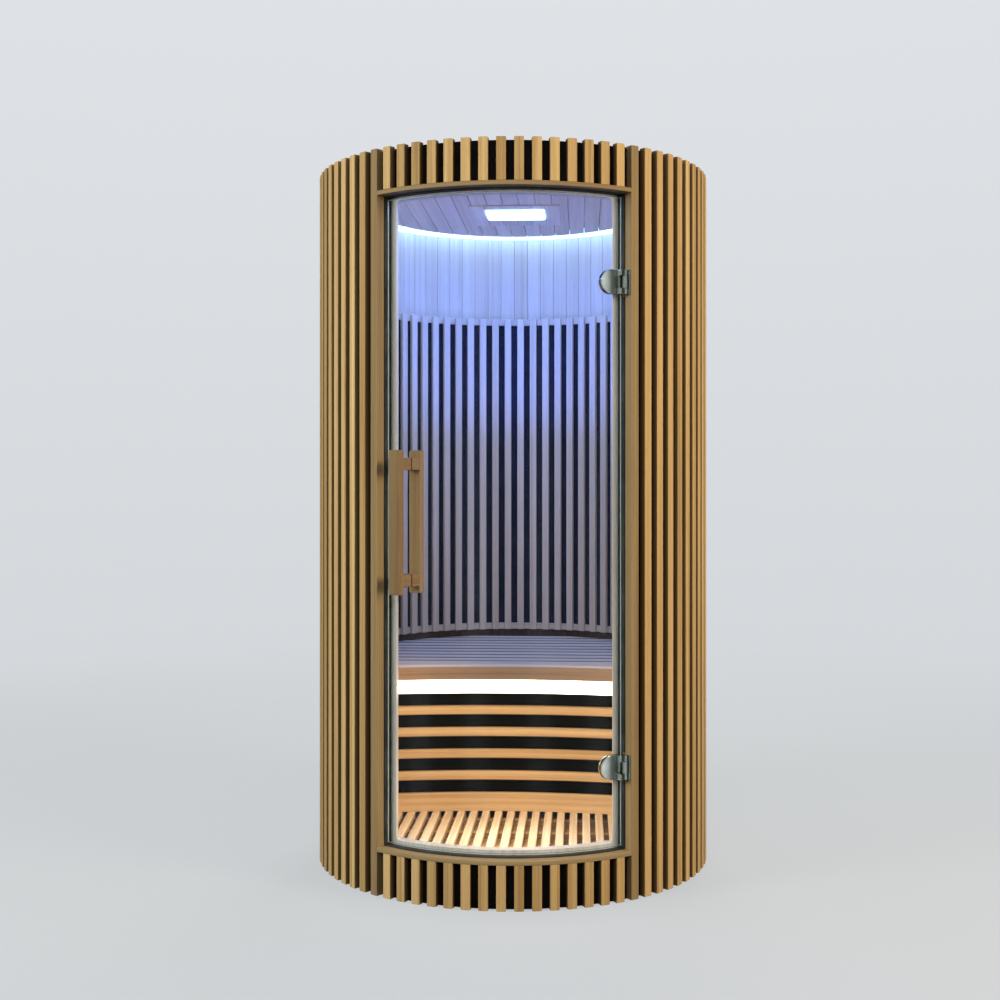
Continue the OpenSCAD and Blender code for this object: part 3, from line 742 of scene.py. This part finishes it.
outer_bar = GLASS_RO + BLOCK_L
inner_bar = GLASS_RI - BLOCK_L
BLOCK_SINK = 0.001
outer_end, inner_end = flat(outer_bar + BLOCK_SINK), flat(inner_bar - BLOCK_SINK)
handle("handle_outside", "handle_outer", outer_bar, outer_bar + HANDLE_T, bent(GLASS_RO), outer_end, 101)
handle("handle_inside", "handle_inner", inner_bar - HANDLE_T, inner_bar, inner_end, bent(GLASS_RI), 102)

# ---------- hinges ----------

post = round_wall(POST_A)


def at_axis(x, y, t):
    """Post-local place from the hinge axis: x towards the post, y into the cabin, t up."""
    return post(HINGE_X + x, HINGE_R - y, t)


def d_plate(shape, z, r_in, r_out, edge):
    """D-shaped plate bent to the glass, its round side away from the post."""
    round_r = HINGE_H / 2
    right = HINGE_X - PLATE_GAP
    centre = right - (PLATE_W - round_r)
    cols = []
    for k in range(1, 15):
        a = math.radians(6 * k)
        cols.append((centre - round_r * math.cos(a), round_r * math.sin(a)))
    cols += [(centre + (right - edge - centre) * k / 5, round_r) for k in range(1, 6)]
    cols.append((right, round_r - edge))
    start = centre - round_r
    cols.insert(0, (start + 0.0001, 0.0022))
    tall = {round(c[0], 6): c[1] for c in cols}

    def put(x, y, t):
        h = tall[round(t, 6)]
        h = max(h - (1 - abs(y)) * edge, 0.0005) * (1 if y > 0 else -1)
        radius = r_in + (r_out - r_in) * x
        return post(t, math.sqrt(radius * radius - t * t), z + h)

    profile = [
        (0.0, -1.0), (0.7, -1.0), (0.92, -0.6), (1.0, -0.001),
        (1.0, 0.001), (0.92, 0.6), (0.7, 1.0), (0.0, 1.0),
    ]
    shape.sweep(profile, [(c[0], 0.0) for c in cols], put)


def knuckle(shape, z1, z2, radius=KNUCKLE_R):
    shape.sweep(circle(radius), stations(z1, z2, 0.0006), at_axis)


clamps, backs, leaves = Shape(111), Shape(112), Shape(113)
for hinge_z in HINGE_ZS:
    bottom, top = hinge_z - HINGE_H / 2, hinge_z + HINGE_H / 2
    d_plate(clamps, hinge_z, GLASS_RO, GLASS_RO + 0.005, 0.0016)
    d_plate(backs, hinge_z, GLASS_RI, GLASS_RI - 0.004, 0.0014)
    for z in (bottom, top - ARM_H):
        knuckle(clamps, z, z + ARM_H)
        clamps.sweep(
            rect(-ARM_REACH, 0.0, -0.0045, 0.0125, [0.003, 0.001, 0.001, 0.001], 3),
            stations(z, z + ARM_H, 0.0006),
            at_axis,
        )
    knuckle(clamps, bottom + ARM_H - 0.002, top - ARM_H + 0.002, PIN_R)
    mid_low, mid_high = bottom + ARM_H + ARM_PLAY, top - ARM_H - ARM_PLAY
    knuckle(leaves, mid_low, mid_high)
    leaves.sweep(rect(0.0, LEAF_X + 0.001, -NECK, NECK, 0.0005), stations(mid_low, mid_high, 0.0004), at_axis)
    leaves.sweep(
        rect(LEAF_X, LEAF_X + LEAF_T, -LEAF_OUTSET, LEAF_W - LEAF_OUTSET, 0.0006),
        stations(bottom, top, 0.0006),
        at_axis,
    )
clamps.build("hinge_plates", [CHROME], "door", ["hinge_clamps"], "chrome", smooth=35)
backs.build("hinge_backs", [CHROME], "door", ["hinge_back_plates"], "chrome", smooth=35)
leaves.build("hinge_post_leaves", [CHROME], "cabin", ["hinge_leaves"], "chrome", smooth=35)

# ---------- CAD nodes that stay ----------

KEPT = {
    "base_joists": STRUCTURE_Y, "base_panel": STRUCTURE_X, "floor_battens": STRUCTURE_X,
    "bench_frame": STRUCTURE_Y, "roof_joists": STRUCTURE_Y, "roof_panel": STRUCTURE_X,
    "wall_front_right": WALL_BLACK, "wall_back_right": WALL_BLACK, "wall_back_left": WALL_BLACK,
    "wall_front_left": WALL_BLACK, "lintel_panel": WALL_BLACK, "sill_panel": WALL_BLACK,
    "door_stop_frame": STOP_WOOD, "back_heater": BACK_HEATER, "leg_heater": LEG_HEATER, "ring_light": COOL_RING,
}
for node, material in KEPT.items():
    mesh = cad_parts[node].data
    mesh.materials.clear()
    mesh.materials.append(material)
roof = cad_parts["roof_panel"].data
roof.materials.append(WALL_BLACK)
for face in roof.polygons:
    face.material_index = 1 if abs(face.normal.z) < 0.5 else 0

# ---------- studio ----------

FLOOR_R, FLOOR_Z, FADE_FROM, FADE_TO = 14, -0.0005, 1.2, 5.5
BAND_TURNS = 3.2


def studio_floor():
    """Pale floor that fades out into the background with distance."""
    bpy.ops.mesh.primitive_circle_add(vertices=128, radius=FLOOR_R, fill_type="NGON", location=(0, 0, FLOOR_Z))
    floor = bpy.context.object
    floor.name = "studio_floor"
    n = Nodes("studio_floor")
    n.plain(
        Base_Color=(0.15, 0.15, 0.16, 1), Roughness=0.9, Specular_IOR_Level=0.1,
        Emission_Color=(0.93, 0.98, 1.0, 1), Emission_Strength=0.495,
    )
    coords = n.add("ShaderNodeTexCoord").outputs["Object"]
    away = n.add("ShaderNodeVectorMath", {0: coords}, operation="LENGTH").outputs["Value"]
    spread = {0: away, 1: FADE_FROM, 2: FADE_TO, 3: 0.0, 4: 1.0}
    fade = n.add("ShaderNodeMapRange", spread, interpolation_type="SMOOTHSTEP").outputs[0]
    clear = n.add("ShaderNodeBsdfTransparent").outputs[0]
    both = n.add("ShaderNodeMixShader", {0: fade, 1: n.shader.outputs[0], 2: clear}).outputs[0]
    n.tree.links.new(both, n.tree.nodes["Material Output"].inputs["Surface"])
    floor.data.materials.append(n.material)
    floor.visible_diffuse = floor.visible_glossy = False


def area(name, place, target, size, power, colour):
    """Round soft light that is seen only by what it lights."""
    light = bpy.data.lights.new(name, "AREA")
    light.shape, light.size, light.energy, light.color = "DISK", size, power, colour
    obj = bpy.data.objects.new(name, light)
    obj.location = place
    obj.rotation_euler = (Vector(target) - Vector(place)).to_track_quat("-Z", "Y").to_euler()
    obj.visible_camera = obj.visible_glossy = obj.visible_transmission = False
    bpy.context.scene.collection.objects.link(obj)


def studio_world():
    """Pale backdrop with three looks: as seen, as mirrored by steel, and as light cast on the object."""
    world = bpy.data.worlds.new("studio")
    bpy.context.scene.world = world
    world.use_nodes = True
    tree = world.node_tree
    tree.nodes.clear()

    def add(kind, **settings):
        node = tree.nodes.new(kind)
        for key, value in settings.items():
            setattr(node, key, value)
        return node

    def link(a, b):
        tree.links.new(a, b)

    coords, split, ramp = add("ShaderNodeTexCoord"), add("ShaderNodeSeparateXYZ"), add("ShaderNodeValToRGB")
    level = add("ShaderNodeMapRange")
    level.inputs[1].default_value, level.inputs[2].default_value = -0.5, 0.5
    link(coords.outputs["Generated"], split.inputs[0])
    link(split.outputs["Z"], level.inputs[0])
    link(level.outputs[0], ramp.inputs["Fac"])
    ramp.color_ramp.elements[0].color = (0.60, 0.625, 0.65, 1)
    ramp.color_ramp.elements[1].color = (0.76, 0.79, 0.82, 1)
    shown, cast = add("ShaderNodeBackground"), add("ShaderNodeBackground")
    link(ramp.outputs["Color"], shown.inputs["Color"])
    sky = add("ShaderNodeValToRGB")
    link(level.outputs[0], sky.inputs["Fac"])
    sky.color_ramp.elements[0].position, sky.color_ramp.elements[1].position = 0.35, 0.65
    sky.color_ramp.elements[0].color = (0.030, 0.028, 0.026, 1)
    sky.color_ramp.elements[1].color = (0.21, 0.22, 0.235, 1)
    link(sky.outputs["Color"], cast.inputs["Color"])

    # Upright bands for the steel to mirror, dim straight in front, where the glass faces
    bands, band_tone = add("ShaderNodeMath", operation="ARCTAN2"), add("ShaderNodeValToRGB")
    mirrored = add("ShaderNodeBackground")
    turns, saw = add("ShaderNodeMath", operation="MULTIPLY"), add("ShaderNodeMath", operation="PINGPONG")
    link(split.outputs["X"], bands.inputs[0])
    link(split.outputs["Y"], bands.inputs[1])
    link(bands.outputs[0], turns.inputs[0])
    turns.inputs[1].default_value = BAND_TURNS
    link(turns.outputs[0], saw.inputs[0])
    saw.inputs[1].default_value = 1.0
    link(saw.outputs[0], band_tone.inputs["Fac"])
    band_tone.color_ramp.elements[0].position, band_tone.color_ramp.elements[1].position = 0.50, 0.74
    band_tone.color_ramp.elements[0].color = (0.045, 0.052, 0.046, 1)
    band_tone.color_ramp.elements[1].color = (0.95, 1.0, 0.97, 1)
    link(band_tone.outputs["Color"], mirrored.inputs["Color"])
    path, out = add("ShaderNodeLightPath"), add("ShaderNodeOutputWorld")
    glossy, both = add("ShaderNodeMixShader"), add("ShaderNodeMixShader")
    link(path.outputs["Is Glossy Ray"], glossy.inputs[0])
    link(cast.outputs[0], glossy.inputs[1])
    link(mirrored.outputs[0], glossy.inputs[2])
    direct, through = add("ShaderNodeMath", operation="LESS_THAN"), add("ShaderNodeMath", operation="MULTIPLY")
    direct.inputs[1].default_value = 0.5
    link(path.outputs["Diffuse Depth"], direct.inputs[0])
    link(path.outputs["Is Transmission Ray"], through.inputs[0])
    link(direct.outputs[0], through.inputs[1])
    seen = add("ShaderNodeMath", operation="MAXIMUM")
    link(path.outputs["Is Camera Ray"], seen.inputs[0])
    link(through.outputs[0], seen.inputs[1])
    link(seen.outputs[0], both.inputs[0])
    link(glossy.outputs[0], both.inputs[1])
    link(shown.outputs[0], both.inputs[2])
    link(both.outputs[0], out.inputs["Surface"])


studio_floor()
studio_world()
area("studio_left", (-4.6, -2.9, 2.3), (0, 0, 1.1), 2.2, 235, (0.97, 0.97, 0.92))
area("studio_right", (4.6, -2.6, 2.3), (0, 0, 1.1), 2.2, 270, (1.0, 0.84, 0.63))
area("studio_front", (0.0, -5.2, 3.9), (0, -0.3, 1.6), 2.4, 72, (0.90, 0.96, 1.0))
area("studio_back", (0.5, 4.4, 3.4), (0, 0, 1.0), 3.0, 150, (1.0, 0.99, 0.96))
area("cabin_top", (0.0, 0.0, 1.88), (0, 0.0, 0), 0.7, 6, (0.05, 0.19, 1.0))
area("cabin_up", (0.0, 0.05, 1.25), (0, 0.05, 3), 0.5, 4, (0.10, 0.20, 1.0))
area("bench_glow", (0.0, -0.38, 0.42), (0, -0.40, 0.0), 0.24, 1.1, (1.0, 0.84, 0.60))

LENS_MM, SENSOR_MM, SHIFT, EYE, EYE_TURN = 48.19, 36, (-0.013, -0.020), (0.2177, -4.0191, 1.113), 3.1
camera = bpy.data.cameras.new("camera")
camera.lens, camera.sensor_width = LENS_MM, SENSOR_MM
camera.shift_x, camera.shift_y = SHIFT
eye = bpy.data.objects.new("camera", camera)
eye.location = EYE
eye.rotation_euler = (math.pi / 2, 0, math.radians(EYE_TURN))
bpy.context.scene.collection.objects.link(eye)
bpy.context.scene.camera = eye
bpy.context.scene.view_settings.view_transform = "Standard"
